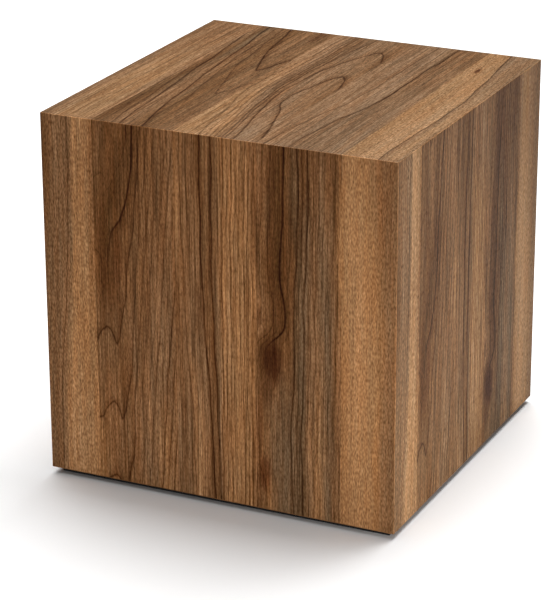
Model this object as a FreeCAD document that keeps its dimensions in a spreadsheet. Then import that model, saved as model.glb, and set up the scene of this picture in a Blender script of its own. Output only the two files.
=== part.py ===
"""Cube storage unit: a laminated board cube with mitred edges, open at the rear, on a recessed black base.

Frame: origin at the centre of the footprint on the floor, +X right, +Y to the open rear, +Z up, in mm.

Each mitred panel (top, front, left, right) is a board core between an outer laminate and an inner lining.
Its three layers share one 45 degree mitre plane at each mitred edge, so neighbouring panels meet face to
face. Square edges carry edge bands. Biscuits lie across the mitres and dowels carry the bottom panel. A
ring of thin black strips, screwed up into the bottom panel, lifts the cube off the floor on felt pads.
"""

import FreeCAD, Part
import math
import os

import Sketcher

Vector = FreeCAD.Vector
Placement = FreeCAD.Placement
Rotation = FreeCAD.Rotation

SIZES = {
    # the cube
    "cube_width": 450,
    "cube_depth": 450,
    "body_height": 449,  # from the lower edge of the panels to the top face
    # boards and their faces
    "core_thickness": 18,
    "laminate_thickness": 0.5,  # outer laminate, inner lining and the bottom's backer
    "band_thickness": 1,
    "arris_radius": 0.8,  # easing of every outer edge
    # recessed base
    "base_inset": 9.5,  # from the cube's faces to the base
    "base_strip_width": 40,
    "base_strip_thickness": 7,
    "pad_thickness": 2,
    "pad_diameter": 24,
    "pad_recess_depth": 1.5,  # the pads are let into the strips, so that little light gets under the base
    "pad_clearance": 0.2,
    # biscuits across the mitres
    "biscuit_length": 53,
    "biscuit_width": 19,
    "biscuit_thickness": 4,
    "biscuit_cutter_radius": 50,
    "biscuit_seat": 8,  # along the mitre, from the panel's inner corner to the biscuit's middle
    "biscuit_margin": 80,  # from the joint's end to the first biscuit's middle
    "biscuits_per_joint": 3,
    "biscuit_clearance": 0.2,
    # dowels between the bottom panel and the uprights
    "dowel_diameter": 8,
    "dowel_in_upright": 12,
    "dowel_in_bottom": 24,
    "dowel_chamfer": 1,
    "dowel_margin": 40,
    "dowels_per_joint": 3,
    "dowel_clearance": 0.1,
    # countersunk screws that hold the base strips
    "screw_length": 16,
    "screw_head_diameter": 7,
    "screw_shank_diameter": 3.5,
    "screw_tip_length": 3,
    "screw_recess_length": 4,
    "screw_recess_width": 0.9,
    "screw_recess_depth": 1.3,
    "screw_margin": 75,
    "screws_per_strip": 4,
    "screw_clearance": 0.1,
}

# Expressions that several pieces share, all read from the sheet.
PANEL = "(Sizes.core_thickness + 2 * Sizes.laminate_thickness)"
STRIP_UNDERSIDE = "(Sizes.pad_thickness - Sizes.pad_recess_depth)"
FLOOR_GAP = f"({STRIP_UNDERSIDE} + Sizes.base_strip_thickness)"
TOP = f"({FLOOR_GAP} + Sizes.body_height)"
HALF_WIDTH = "Sizes.cube_width / 2"
HALF_DEPTH = "Sizes.cube_depth / 2"
BAND = "Sizes.band_thickness"
OUTER = "0"  # depths below a panel's outer face
CORE_START = "Sizes.laminate_thickness"
CORE_END = "(Sizes.laminate_thickness + Sizes.core_thickness)"

X_AXIS = Vector(1, 0, 0)
Y_AXIS = Vector(0, 1, 0)
Z_AXIS = Vector(0, 0, 1)

doc = FreeCAD.newDocument("CubeStorageUnit")
nodes = []  # the objects that are written out, one file each


def make_sheet():
    """The driving dimensions, one aliased cell each."""
    sheet = doc.addObject("Spreadsheet::Sheet", "Sizes")
    for row, (alias, value) in enumerate(SIZES.items(), start=1):
        sheet.set(f"A{row}", alias)
        sheet.set(f"B{row}", str(value))
        sheet.setAlias(f"B{row}", alias)
    doc.recompute()


def bind(thing, **expressions):
    """Binds properties to expressions; a double underscore in a name stands for a dot."""
    for name, expression in expressions.items():
        thing.setExpression(name.replace("__", "."), expression)


def as_node(thing, label):
    """Marks a finished sub-part, whose label names its file."""
    thing.Label = label
    nodes.append(thing)
    return thing


# --- flat pieces ---


class Edge:
    """One edge of a panel: its outer limit, the sign that leads from there into the panel, and whether it
    is mitred. At a mitred edge a layer's limit moves inwards with its depth below the outer face."""

    def __init__(self, limit, inwards, mitred):
        self.limit = limit
        self.inwards = inwards
        self.mitred = mitred

    def at(self, depth):
        if not self.mitred:
            return self.limit
        return f"{self.limit} {self.inwards} ({depth})"

    def band(self):
        """The low and the high edge of the band that closes this square edge from outside."""
        if self.inwards == "-":
            return self, Edge(f"{self.limit} + {BAND}", "-", False)
        return Edge(f"{self.limit} - {BAND}", "+", False), self


class Panel:
    """A panel in the axes of its wedges: y runs from the outer face into the board, x and z along it."""

    def __init__(self, turn, face, x_low, x_high, z_low, z_high):
        self.turn = turn
        self.face = face
        self.x = (x_low, x_high)
        self.z = (z_low, z_high)

    def piece(self, label, near, far, x=None, z=None):
        """The part of the panel between two depths below its outer face."""
        x_low, x_high = x or self.x
        z_low, z_high = z or self.z
        wedge = doc.addObject("Part::Wedge", label)
        wedge.Placement = Placement(Vector(), self.turn)
        bind(
            wedge,
            Ymin=f"{self.face} + {near}",
            Ymax=f"{self.face} + {far}",
            Xmin=x_low.at(near),
            X2min=x_low.at(far),
            Xmax=x_high.at(near),
            X2max=x_high.at(far),
            Zmin=z_low.at(near),
            Z2min=z_low.at(far),
            Zmax=z_high.at(near),
            Z2max=z_high.at(far),
        )
        return wedge


LEFT_MITRE = Edge(f"-{HALF_WIDTH}", "+", True)
RIGHT_MITRE = Edge(HALF_WIDTH, "-", True)
FRONT_MITRE_LOW = Edge(f"-{HALF_DEPTH}", "+", True)
FRONT_MITRE_HIGH = Edge(HALF_DEPTH, "-", True)
TOP_MITRE = Edge(TOP, "-", True)
REAR_HIGH = Edge(f"{HALF_DEPTH} - {BAND}", "-", False)
REAR_LOW = Edge(f"-{HALF_DEPTH} + {BAND}", "+", False)
FOOT = Edge(f"{FLOOR_GAP} + {BAND}", "+", False)

PANELS = {
    # the wedge's y runs down from the top face, its z towards the rear
    "top": Panel(Rotation(X_AXIS, -90), f"-{TOP}", LEFT_MITRE, RIGHT_MITRE, FRONT_MITRE_LOW, REAR_HIGH),
    "front": Panel(Rotation(), f"-{HALF_DEPTH}", LEFT_MITRE, RIGHT_MITRE, FOOT, TOP_MITRE),
    # the wedge's y runs to the right, its x to the front
    "left": Panel(Rotation(Z_AXIS, -90), f"-{HALF_WIDTH}", REAR_LOW, FRONT_MITRE_HIGH, FOOT, TOP_MITRE),
    # the wedge's y runs to the left, its x to the rear
    "right": Panel(Rotation(Z_AXIS, 90), f"-{HALF_WIDTH}", FRONT_MITRE_LOW, REAR_HIGH, FOOT, TOP_MITRE),
}


def eased_envelope():
    """The whole walnut cube with every outer edge eased. Outer pieces are cut to it."""
    body = doc.addObject("PartDesign::Body", "EasedEnvelope")
    box = body.newObject("PartDesign::AdditiveBox", "EnvelopeBox")
    bind(box, Length="Sizes.cube_width", Width="Sizes.cube_depth", Height="Sizes.body_height")
    bind(body, Placement__Base__x=f"-{HALF_WIDTH}", Placement__Base__y=f"-{HALF_DEPTH}")
    bind(body, Placement__Base__z=FLOOR_GAP)
    doc.recompute()
    easing = body.newObject("PartDesign::Fillet", "EnvelopeEasing")
    easing.Base = (box, [f"Edge{n + 1}" for n in range(len(box.Shape.Edges))])
    bind(easing, Radius="Sizes.arris_radius")
    body.Tip = easing
    return body


def eased(piece, envelope, label):
    """The piece cut to the eased envelope."""
    common = doc.addObject("Part::Common", f"{label}_eased")
    common.Base = piece
    common.Tool = envelope
    return as_node(common, label)


def cut_with(piece, tools, label):
    """The piece less the tools, one cut after another."""
    for tool in tools:
        cut = doc.addObject("Part::Cut", f"{label}_cut")
        cut.Base = piece
        cut.Tool = tool
        piece = cut
    return as_node(piece, label)


def slab(label, x, y, z):
    """A rectangular piece between two expressions on each axis."""
    box = doc.addObject("Part::Box", label)
    bind(
        box,
        Length=f"({x[1]}) - ({x[0]})",
        Width=f"({y[1]}) - ({y[0]})",
        Height=f"({z[1]}) - ({z[0]})",
        Placement__Base__x=x[0],
        Placement__Base__y=y[0],
        Placement__Base__z=z[0],
    )
    return box


# --- rows of biscuits, dowels and screws ---


def origin_part(body, role):
    return next(feature for feature in body.Origin.OriginFeatures if feature.Role == role)


def new_sketch(body, plane, name):
    sketch = body.newObject("Sketcher::SketchObject", name)
    sketch.AttachmentSupport = (origin_part(body, plane), [""])
    sketch.MapMode = "FlatFace"
    return sketch


def closed_profile(sketch, corners):
    """A closed outline through corners given as pairs of expressions, each a dimension from the origin."""
    guess = [Vector(1 + index, 1 + index * index, 0) for index in range(len(corners))]
    for index, start in enumerate(guess):
        sketch.addGeometry(Part.LineSegment(start, guess[(index + 1) % len(guess)]), False)
    for index in range(len(corners)):
        sketch.addConstraint(Sketcher.Constraint("Coincident", index, 2, (index + 1) % len(corners), 1))
    for index, corner in enumerate(corners):
        for kind, expression in zip(("DistanceX", "DistanceY"), corner):
            number = sketch.addConstraint(Sketcher.Constraint(kind, -1, 1, index, 1, 1.0))
            sketch.setExpression(f"Constraints[{number}]", expression)


def in_row(body, features, half_row, count):
    """Repeats the features along the body's x, from one end of its row to the other."""
    pattern = body.newObject("PartDesign::LinearPattern", f"{body.Name}_row")
    pattern.Originals = features
    pattern.Direction = (origin_part(body, "X_Axis"), [""])
    bind(pattern, Length=f"2 * {half_row}", Occurrences=count)
    body.Tip = pattern


def row_body(name, at, turn):
    """An empty body for a row: its own x runs along the row, from the middle."""
    body = doc.addObject("PartDesign::Body", name)
    body.AllowCompound = True
    body.Placement = Placement(Vector(), turn)
    bind(body, Placement__Base__x=at[0], Placement__Base__y=at[1], Placement__Base__z=at[2])
    return body


def biscuit_row(name, at, turn, joint_length, play="0"):
    """Flat oval biscuits, long side along the joint. play grows each one all round, for its slot."""
    body = row_body(name, at, turn)
    half_row = f"({joint_length} / 2 - Sizes.biscuit_margin)"
    sketch = new_sketch(body, "XY_Plane", f"{name}_outline")
    bind(sketch, AttachmentOffset__Base__x=f"-{half_row}")
    radius = SIZES["biscuit_cutter_radius"]
    drop = radius - SIZES["biscuit_width"] / 2
    half_length = SIZES["biscuit_length"] / 2
    half_angle = math.asin(half_length / radius)
    upward = math.pi / 2
    upper_circle = Part.Circle(Vector(0, -drop, 0), Z_AXIS, radius)
    lower_circle = Part.Circle(Vector(0, drop, 0), Z_AXIS, radius)
    upper = Part.ArcOfCircle(upper_circle, upward - half_angle, upward + half_angle)
    lower = Part.ArcOfCircle(lower_circle, -upward - half_angle, -upward + half_angle)
    left = Part.LineSegment(upper.EndPoint, lower.StartPoint)
    right = Part.LineSegment(lower.EndPoint, upper.StartPoint)
    for edge in (upper, left, lower, right):
        sketch.addGeometry(edge, False)
    for index in range(4):
        sketch.addConstraint(Sketcher.Constraint("Coincident", index, 2, (index + 1) % 4, 1))
    sketch.addConstraint(Sketcher.Constraint("Vertical", 1))
    sketch.addConstraint(Sketcher.Constraint("PointOnObject", 0, 3, -2))
    sketch.addConstraint(Sketcher.Constraint("Symmetric", 0, 1, 2, 1, -1, 1))
    sketch.addConstraint(Sketcher.Constraint("Symmetric", 0, 2, 2, 2, -1, 1))
    sketch.addConstraint(Sketcher.Constraint("Equal", 0, 2))
    size = sketch.addConstraint(Sketcher.Constraint("Radius", 0, radius))
    bind(sketch, **{f"Constraints[{size}]": f"Sizes.biscuit_cutter_radius + {play}"})
    reach = sketch.addConstraint(Sketcher.Constraint("DistanceX", -1, 1, 0, 1, half_length))
    bind(sketch, **{f"Constraints[{reach}]": f"Sizes.biscuit_length / 2 + {play}"})
    centre = sketch.addConstraint(Sketcher.Constraint("DistanceY", 0, 3, -1, 1, drop))
    bind(sketch, **{f"Constraints[{centre}]": "Sizes.biscuit_cutter_radius - Sizes.biscuit_width / 2"})
    pad = body.newObject("PartDesign::Pad", f"{name}_thickness")
    pad.Profile = sketch
    pad.SideType = "Symmetric"
    bind(pad, Length=f"Sizes.biscuit_thickness + 2 * {play}")
    in_row(body, [pad], half_row, "Sizes.biscuits_per_joint")
    return body


def turned_row(name, at, turn, half_row, corners):
    """A row of pieces turned about the body's z, from corners given as (radius, height)."""
    body = row_body(name, at, turn)
    sketch = new_sketch(body, "XZ_Plane", f"{name}_profile")
    bind(sketch, AttachmentOffset__Base__x=f"-{half_row}")
    closed_profile(sketch, corners)
    turned = body.newObject("PartDesign::Revolution", f"{name}_turned")
    turned.Profile = sketch
    turned.ReferenceAxis = (sketch, ["V_Axis"])
    turned.Angle = 360
    return body, turned


def dowel_row(name, at, turn, joint_length, play="0"):
    """Chamfered dowels along the body's z; its origin is where the two boards meet."""
    half_row = f"({joint_length} / 2 - Sizes.dowel_margin)"
    radius = f"Sizes.dowel_diameter / 2 + {play}"
    low = f"-Sizes.dowel_in_upright - {play}"
    high = f"Sizes.dowel_in_bottom + {play}"
    chamfer = "Sizes.dowel_chamfer"
    corners = [
        ("0", low),
        (f"{radius} - {chamfer}", low),
        (radius, f"{low} + {chamfer}"),
        (radius, f"{high} - {chamfer}"),
        (f"{radius} - {chamfer}", high),
        ("0", high),
    ]
    body, turned = turned_row(name, at, turn, half_row, corners)
    in_row(body, [turned], half_row, "Sizes.dowels_per_joint")
    return body


def screw_row(name, at, turn, strip_length, play="0", recess=True):
    """Countersunk screws pointing up, their heads flush with the base's underside."""
    half_row = f"({strip_length} / 2 - Sizes.screw_margin)"
    head = f"Sizes.screw_head_diameter / 2 + {play}"
    shank = f"Sizes.screw_shank_diameter / 2 + {play}"
    neck = "(Sizes.screw_head_diameter - Sizes.screw_shank_diameter) / 2"
    end = f"Sizes.screw_length + {play}"
    corners = [
        ("0", "0"),
        (head, "0"),
        (shank, neck),
        (shank, f"{end} - Sizes.screw_tip_length"),
        ("0", end),
    ]
    body, turned = turned_row(name, at, turn, half_row, corners)
    features = [turned]
    if recess:
        features.append(cross_slot(body, name, half_row, "length", "width"))
        features.append(cross_slot(body, name, half_row, "width", "length"))
    in_row(body, features, half_row, "Sizes.screws_per_strip")
    return body


def cross_slot(body, name, half_row, along_x, along_y):
    """One arm of the cross recess in a screw's head."""
    sketch = new_sketch(body, "XY_Plane", f"{name}_slot_{along_x}")
    bind(sketch, AttachmentOffset__Base__x=f"-{half_row}")
    half_x = f"Sizes.screw_recess_{along_x} / 2"
    half_y = f"Sizes.screw_recess_{along_y} / 2"
    closed_profile(
        sketch,
        [
            (f"-{half_x}", f"-{half_y}"),
            (half_x, f"-{half_y}"),
            (half_x, half_y),
            (f"-{half_x}", half_y),
        ],
    )
    pocket = body.newObject("PartDesign::Pocket", f"{name}_recess_{along_x}")
    pocket.Profile = sketch
    pocket.Reversed = True
    bind(pocket, Length="Sizes.screw_recess_depth")
    return pocket


def facing(along, outwards):
    """The turn that lays a row's x along the joint and its z outwards, in the plane of the mitre."""
    return Rotation(along, Vector(), outwards, "XZY")


INNER_LEFT = f"-{HALF_WIDTH} + {PANEL}"
INNER_RIGHT = f"{HALF_WIDTH} - {PANEL}"
INNER_FRONT = f"-{HALF_DEPTH} + {PANEL}"
INNER_TOP = f"{TOP} - {PANEL}"
SEAT = "Sizes.biscuit_seat * sqrt(2) / 2"  # the seat's share along each of the mitre's two axes
BODY_MIDDLE = f"{FLOOR_GAP} + Sizes.body_height / 2"
BOTTOM_MIDDLE = f"{FLOOR_GAP} + {PANEL} / 2"
BOTTOM_LENGTH = f"(Sizes.cube_depth - {PANEL} - {BAND})"
BOTTOM_CENTRE = f"({PANEL} - {BAND}) / 2"
INNER_WIDTH = f"(Sizes.cube_width - 2 * {PANEL})"

MITRE_JOINTS = {
    # name: the two panels, the row's place, its direction, the outward diagonal, the joint's length
    "top_front": (
        ("top", "front"),
        ("0", f"{INNER_FRONT} - {SEAT}", f"{INNER_TOP} + {SEAT}"),
        (X_AXIS, Vector(0, -1, 1)),
        "Sizes.cube_width",
    ),
    "top_left": (
        ("top", "left"),
        (f"{INNER_LEFT} - {SEAT}", "0", f"{INNER_TOP} + {SEAT}"),
        (Y_AXIS, Vector(-1, 0, 1)),
        "Sizes.cube_depth",
    ),
    "top_right": (
        ("top", "right"),
        (f"{INNER_RIGHT} + {SEAT}", "0", f"{INNER_TOP} + {SEAT}"),
        (Y_AXIS, Vector(1, 0, 1)),
        "Sizes.cube_depth",
    ),
    "front_left": (
        ("front", "left"),
        (f"{INNER_LEFT} - {SEAT}", f"{INNER_FRONT} - {SEAT}", BODY_MIDDLE),
        (Z_AXIS, Vector(-1, -1, 0)),
        "Sizes.body_height",
    ),
    "front_right": (
        ("front", "right"),
        (f"{INNER_RIGHT} + {SEAT}", f"{INNER_FRONT} - {SEAT}", BODY_MIDDLE),
        (Z_AXIS, Vector(1, -1, 0)),
        "Sizes.body_height",
    ),
}

DOWEL_JOINTS = {
    # upright: the row's place, its direction, the way into the bottom panel, the joint's length
    "left": ((INNER_LEFT, BOTTOM_CENTRE, BOTTOM_MIDDLE), (Y_AXIS, X_AXIS), BOTTOM_LENGTH),
    "right": ((INNER_RIGHT, BOTTOM_CENTRE, BOTTOM_MIDDLE), (Y_AXIS, -X_AXIS), BOTTOM_LENGTH),
    "front": (("0", INNER_FRONT, BOTTOM_MIDDLE), (X_AXIS, Y_AXIS), INNER_WIDTH),
}


# --- the cube's sub-parts ---


def make_biscuits():
    """The biscuits, and for each panel the slots that its core needs."""
    slots = {side: [] for side in PANELS}
    for joint, (sides, at, directions, length) in MITRE_JOINTS.items():
        turn = facing(*directions)
        as_node(biscuit_row(f"{joint}_biscuits", at, turn, length), f"{joint}_biscuits")
        row = biscuit_row(f"{joint}_slots", at, turn, length, play="Sizes.biscuit_clearance")
        for side in sides:
            slots[side].append(row)
    return slots


def make_dowels():
    """The dowels, and for each upright the row of holes that they need."""
    holes = {}
    for side, (at, directions, length) in DOWEL_JOINTS.items():
        turn = facing(*directions)
        as_node(dowel_row(f"{side}_dowels", at, turn, length), f"{side}_dowels")
        holes[side] = dowel_row(f"{side}_dowel_holes", at, turn, length, play="Sizes.dowel_clearance")
    return holes


def make_uprights_and_top(envelope, slots, holes):
    """The four mitred panels, each as laminate, core and lining, with bands on the square edges."""
    for side, panel in PANELS.items():
        eased(panel.piece(f"{side}_sheet", OUTER, CORE_START), envelope, f"{side}_laminate")
        side_holes = [holes[side]] if side in holes else []
        core = panel.piece(f"{side}_board", CORE_START, CORE_END)
        cut_with(core, slots[side] + side_holes, f"{side}_core")
        lining = panel.piece(f"{side}_inner_sheet", CORE_END, PANEL)
        cut_with(lining, side_holes, f"{side}_lining")
    make_bands(envelope)


def make_bands(envelope):
    """Edge bands on the open rear and on the lower edges. Each upright rear band also covers the end of
    its side's foot band."""
    full_height = (Edge(FLOOR_GAP, "+", False), TOP_MITRE)
    top, front, left, right = (PANELS[side] for side in ("top", "front", "left", "right"))
    rear_top = top.piece("rear_band_top_strip", OUTER, PANEL, z=REAR_HIGH.band())
    eased(rear_top, envelope, "rear_band_top")
    rear_left = left.piece("rear_band_left_strip", OUTER, PANEL, x=REAR_LOW.band(), z=full_height)
    eased(rear_left, envelope, "rear_band_left")
    rear_right = right.piece("rear_band_right_strip", OUTER, PANEL, x=REAR_HIGH.band(), z=full_height)
    eased(rear_right, envelope, "rear_band_right")
    for side, panel in (("front", front), ("left", left), ("right", right)):
        foot = panel.piece(f"foot_band_{side}_strip", OUTER, PANEL, z=FOOT.band())
        eased(foot, envelope, f"foot_band_{side}")


def make_bottom(envelope, holes, screw_holes):
    """The bottom panel between the uprights, with its backer, lining and rear band."""
    width = (INNER_LEFT, INNER_RIGHT)
    depth = (INNER_FRONT, f"{HALF_DEPTH} - {BAND}")
    under = FLOOR_GAP
    core_low = f"{under} + {CORE_START}"
    core_high = f"{under} + {CORE_END}"
    backer = slab("bottom_backer_sheet", width, depth, (under, core_low))
    cut_with(backer, screw_holes, "bottom_backer")
    core = slab("bottom_board", width, depth, (core_low, core_high))
    cut_with(core, [*holes.values(), *screw_holes], "bottom_core")
    as_node(slab("bottom_inner_sheet", width, depth, (core_high, f"{under} + {PANEL}")), "bottom_lining")
    rear = (f"{HALF_DEPTH} - {BAND}", HALF_DEPTH)
    band = slab("rear_band_bottom_strip", width, rear, (under, f"{under} + {PANEL}"))
    eased(band, envelope, "rear_band_bottom")


BASE_SIDES = {
    # side: its strip's turn, the way to it in x and y, the cube's half size across it and along it
    "front": (0, (0, -1), HALF_DEPTH, HALF_WIDTH),
    "right": (90, (1, 0), HALF_WIDTH, HALF_DEPTH),
    "rear": (180, (0, 1), HALF_DEPTH, HALF_WIDTH),
    "left": (-90, (-1, 0), HALF_WIDTH, HALF_DEPTH),
}


def strip_centre(half_size):
    """How far a base strip's centre line lies from the middle of the cube."""
    return f"({half_size} - Sizes.base_inset - Sizes.base_strip_width / 2)"


def make_screws():
    """All the base's screws, and one row of holes for each strip."""
    rows, holes = [], {}
    for side, (angle, way, across, along) in BASE_SIDES.items():
        centre = strip_centre(across)
        at = (f"{way[0]} * {centre}", f"{way[1]} * {centre}", STRIP_UNDERSIDE)
        turn = Rotation(Z_AXIS, angle)
        length = f"(2 * ({along} - Sizes.base_inset))"
        rows.append(screw_row(f"{side}_screws", at, turn, length))
        clearance = "Sizes.screw_clearance"
        holes[side] = screw_row(f"{side}_screw_holes", at, turn, length, play=clearance, recess=False)
    screws = doc.addObject("Part::Compound", "all_screws")
    screws.Links = rows
    as_node(screws, "base_screws")
    return holes


def make_pads():
    """One felt pad under each corner of the base ring. Returns the recesses that the pads sit in."""
    pads, recesses = [], []
    for x_sign in (-1, 1):
        for y_sign in (-1, 1):
            for row, play in ((pads, "0"), (recesses, "Sizes.pad_clearance")):
                disc = doc.addObject("Part::Cylinder", "pad" if row is pads else "pad_recess")
                bind(
                    disc,
                    Radius=f"Sizes.pad_diameter / 2 + {play}",
                    Height="Sizes.pad_thickness",
                    Placement__Base__x=f"{x_sign} * {strip_centre(HALF_WIDTH)}",
                    Placement__Base__y=f"{y_sign} * {strip_centre(HALF_DEPTH)}",
                )
                row.append(disc)
    group = doc.addObject("Part::Compound", "all_pads")
    group.Links = pads
    as_node(group, "felt_pads")
    return recesses


def make_base(screw_holes, pad_recesses):
    """The ring of four mitred black strips under the cube."""
    for side, (angle, _, across, along) in BASE_SIDES.items():
        end = f"{along} - Sizes.base_inset"
        ends = (Edge(f"-({end})", "+", True), Edge(end, "-", True))
        height = (Edge(STRIP_UNDERSIDE, "+", False), Edge(FLOOR_GAP, "-", False))
        strip = Panel(Rotation(Z_AXIS, angle), f"-{across} + Sizes.base_inset", *ends, *height)
        piece = strip.piece(f"base_{side}_strip", OUTER, "Sizes.base_strip_width")
        cut_with(piece, [screw_holes[side], *pad_recesses], f"base_strip_{side}")


def check_document():
    """Stops if a feature failed or a node has no valid solid."""
    for thing in doc.Objects:
        if {"Invalid", "Error"} & set(thing.State):
            raise RuntimeError(f"{thing.Label} failed: {thing.State}")
    for node in nodes:
        shape = node.Shape
        if shape.isNull() or not shape.isValid() or not shape.Solids:
            raise RuntimeError(f"{node.Label} has no valid solid")


def write_parts():
    os.makedirs("parts", exist_ok=True)
    for node in nodes:
        node.Shape.exportStep(os.path.join("parts", f"{node.Label}.step"))
        print(f"{node.Label}: {len(node.Shape.Solids)} solids, {node.Shape.Volume:.1f} mm3")


make_sheet()
easing_envelope = eased_envelope()
panel_slots = make_biscuits()
dowel_holes = make_dowels()
strip_screw_holes = make_screws()
make_uprights_and_top(easing_envelope, panel_slots, dowel_holes)
make_bottom(easing_envelope, dowel_holes, list(strip_screw_holes.values()))
recesses_for_pads = make_pads()
make_base(strip_screw_holes, recesses_for_pads)
doc.recompute()
check_document()
write_parts()
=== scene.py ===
# %% [markdown]
# # A cube storage unit in printed walnut
# The cube is made of boards that meet in mitres. Every outside face and every wall of the compartment
# carries a thin decorative sheet printed like walnut. The boards, screws and feet come from the CAD model
# as they are. What Blender adds is the printed sheets, with their figure, and a finish for each of the
# other pieces.

# %% Load the CAD model
from dataclasses import dataclass, field

import bpy
import numpy as np
from mathutils import Matrix, Vector


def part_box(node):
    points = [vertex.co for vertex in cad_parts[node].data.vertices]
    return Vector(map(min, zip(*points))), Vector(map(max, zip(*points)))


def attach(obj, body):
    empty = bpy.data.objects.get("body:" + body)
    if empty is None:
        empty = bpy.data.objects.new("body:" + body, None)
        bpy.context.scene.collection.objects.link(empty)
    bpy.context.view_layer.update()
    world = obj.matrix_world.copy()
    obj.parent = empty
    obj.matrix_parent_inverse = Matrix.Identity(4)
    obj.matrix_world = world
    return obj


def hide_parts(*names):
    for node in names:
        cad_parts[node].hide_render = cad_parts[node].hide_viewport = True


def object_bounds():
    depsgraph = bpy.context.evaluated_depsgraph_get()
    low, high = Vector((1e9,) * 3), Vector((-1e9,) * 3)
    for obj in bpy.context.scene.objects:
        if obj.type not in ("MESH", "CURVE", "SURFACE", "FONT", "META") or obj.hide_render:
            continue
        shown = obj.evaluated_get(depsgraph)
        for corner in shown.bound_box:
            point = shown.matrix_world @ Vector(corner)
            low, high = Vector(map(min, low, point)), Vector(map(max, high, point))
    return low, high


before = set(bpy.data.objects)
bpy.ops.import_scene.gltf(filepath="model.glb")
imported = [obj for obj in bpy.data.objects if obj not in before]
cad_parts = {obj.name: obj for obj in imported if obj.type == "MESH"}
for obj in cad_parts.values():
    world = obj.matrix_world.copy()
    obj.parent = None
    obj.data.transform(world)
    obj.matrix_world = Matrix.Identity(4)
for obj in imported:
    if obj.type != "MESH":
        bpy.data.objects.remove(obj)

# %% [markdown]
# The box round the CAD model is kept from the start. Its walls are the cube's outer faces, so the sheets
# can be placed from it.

MM = 0.001
cad_low, cad_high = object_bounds()
cube_size = cad_high - cad_low
print("CAD box in mm:", [round(side / MM, 2) for side in cube_size])

# %% [markdown]
# ## The walnut print
# A real walnut veneer is laid up from leaves, and each leaf shows the tree's rings as lines. Where the
# knife runs along the trunk the lines are nearly straight; where it grazes the curve of a ring they close
# into arches or dip into a V. A picture could carry all this, but a formula stays sharp at any size: if one
# number counts the rings from the leaf's left join, then every place where that count is whole is a ring
# line. So each leaf is described by how the count rises across it and along it, plus its colours, and the
# shader draws the lines from the count.

# %% Tones of the print
def tone(red, green, blue):
    """A colour mixed as 0 to 255, as the linear light that shaders work in."""
    share = np.array([red, green, blue]) / 255
    return np.where(share <= 0.04045, share / 12.92, ((share + 0.055) / 1.055) ** 2.4)


TONES = {
    "night": tone(72, 44, 19),
    "heart": tone(84, 52, 26),
    "umber": tone(97, 63, 34),
    "olive": tone(90, 65, 41),
    "bark": tone(106, 72, 43),
    "slate": tone(104, 79, 55),
    "smoke": tone(111, 79, 51),
    "chestnut": tone(117, 80, 49),
    "ash": tone(120, 87, 58),
    "walnut": tone(125, 89, 58),
    "amber": tone(134, 94, 58),
    "tan": tone(146, 105, 68),
    "honey": tone(157, 115, 77),
}
print("tones of the print:", len(TONES))

# %% [markdown]
# A leaf is a short list of facts, all in millimetres: rows of tones from its left join to its right one,
# how the ring count rises across it, how it changes along it, which rings are bold, how the figure sways
# sideways, and the dark eyes that small knots leave. A row of tones reads like a list of paint stripes:
# each tone stands after its place, and between two places one tone runs into the next.

# %% What describes a leaf
LEAF_WIDTH = 105.0
FIRST_JOIN = -37.5  # the first leaf is cut: it starts this far outside the face
UPRIGHT = ((-150.0, 0.0), (550.0, 0.6))  # nearly straight lines: less than one ring in the whole height


@dataclass
class Leaf:
    """One leaf of the print; across runs from 0 at its left join, along runs down the grain."""

    tones: dict  # along: the row of tones there
    rise: tuple  # (across, rings counted so far)
    along: tuple = UPRIGHT  # (along, rings added)
    bold: dict = field(default_factory=dict)  # whole count: (along, darkness), below 0 to shade rightwards
    ink: float = 0.35  # how dark the other ring lines are
    sway: tuple = ((0.0, 0.0),)  # (along, how far the figure moves to the right)
    sway_ends: tuple = (40.0, 105.0)  # full sway up to the first place, none past the second
    eyes: tuple = ()  # (across, along, half width, half length, darkness)
    mottle: float = 0.3  # 0 for long clean fibres, 1 for short curly ones


print("leaves are", LEAF_WIDTH, "mm wide")

# %% [markdown]
# The sides of the cube show one stretch of the print. Its second leaf dips into W shapes, the third carries
# twin dark lines, the fourth a wavy line that ends in a large dark eye, and the fifth is pale and almost
# plain.

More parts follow.
